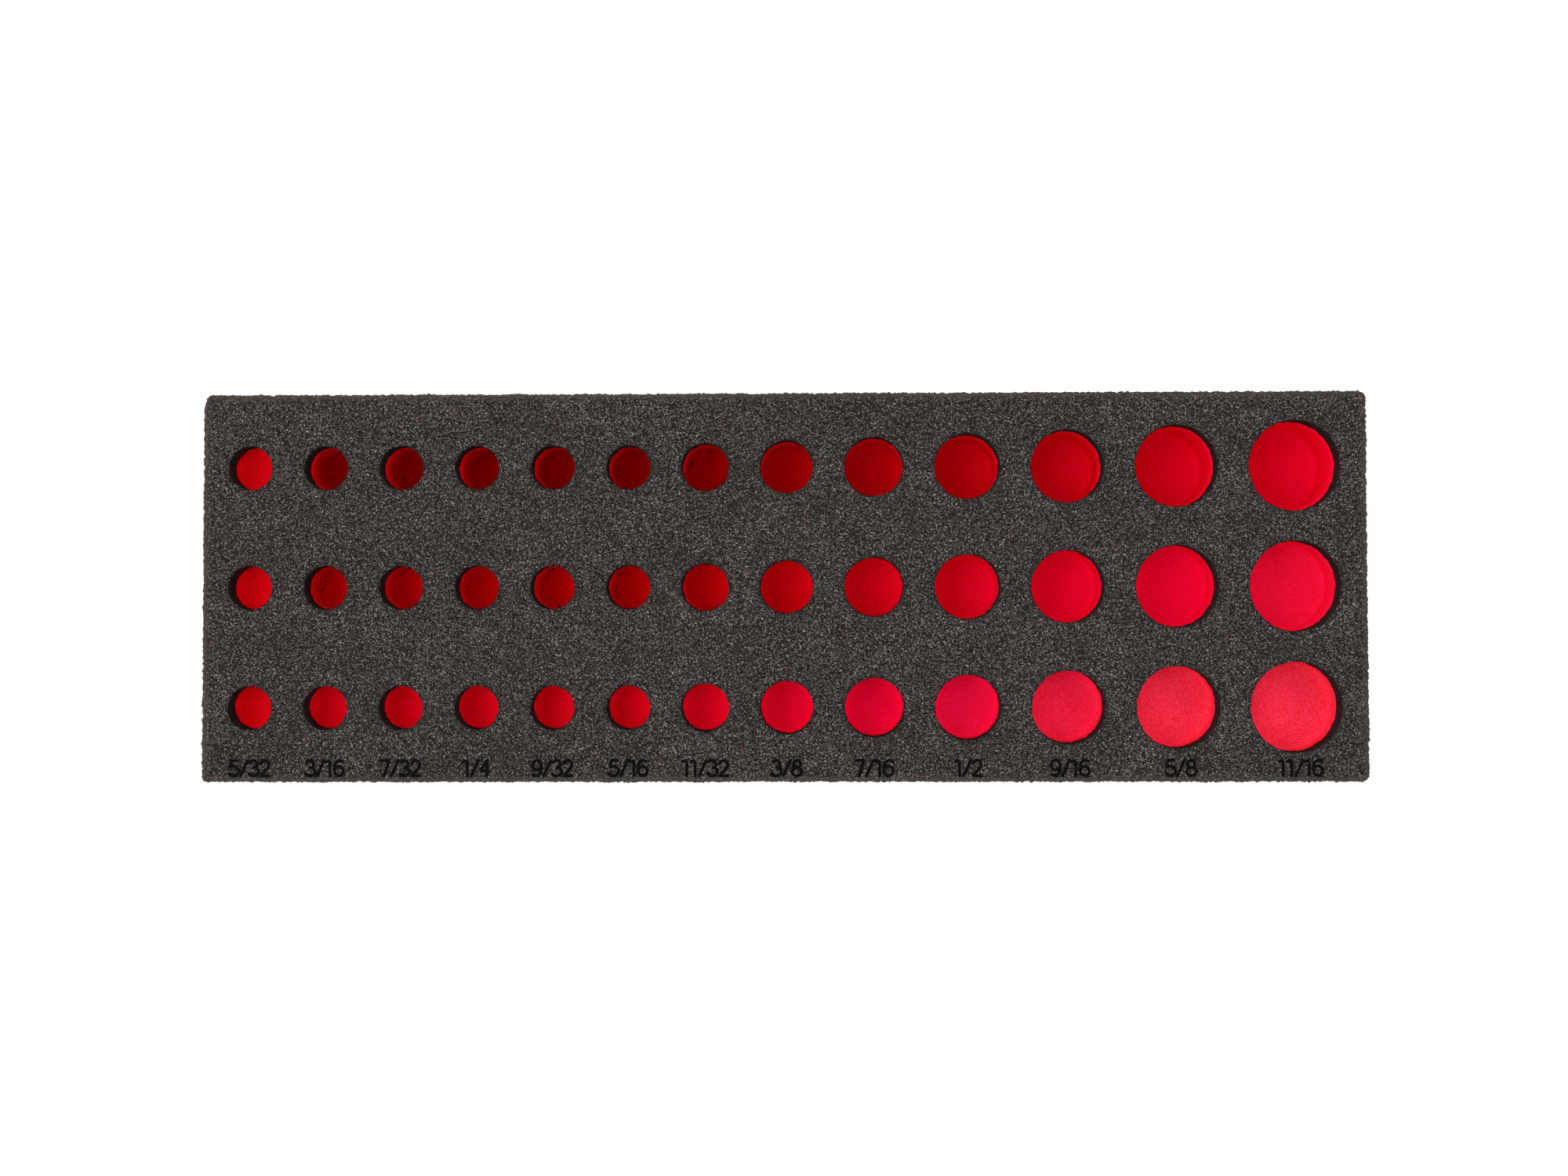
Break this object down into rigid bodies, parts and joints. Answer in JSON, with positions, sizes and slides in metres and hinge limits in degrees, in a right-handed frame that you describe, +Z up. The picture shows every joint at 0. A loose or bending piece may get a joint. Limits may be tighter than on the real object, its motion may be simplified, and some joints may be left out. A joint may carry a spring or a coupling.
{
  "type": "foam socket organizer",
  "caption": "Long rectangular foam block with rows of round blind pockets that widen along it, charcoal on top and red inside, with a size number engraved under each column.",
  "frame": {"origin": "middle of the flat underside", "axes": "+Z up out of the pockets, +X along the block towards the widest pockets, -Y towards the front edge with the size numbers"},
  "size_m": [0.3428, 0.1142, 0.0444],
  "materials": {
    "charcoal_foam": "matte closed-cell foam, charcoal",
    "red_foam": "matte closed-cell foam, bright red"
  },
  "bodies": {
    "root": {"charcoal_top_layer": "charcoal_foam", "red_base_layer": "red_foam"}
  },
  "joints": []
}
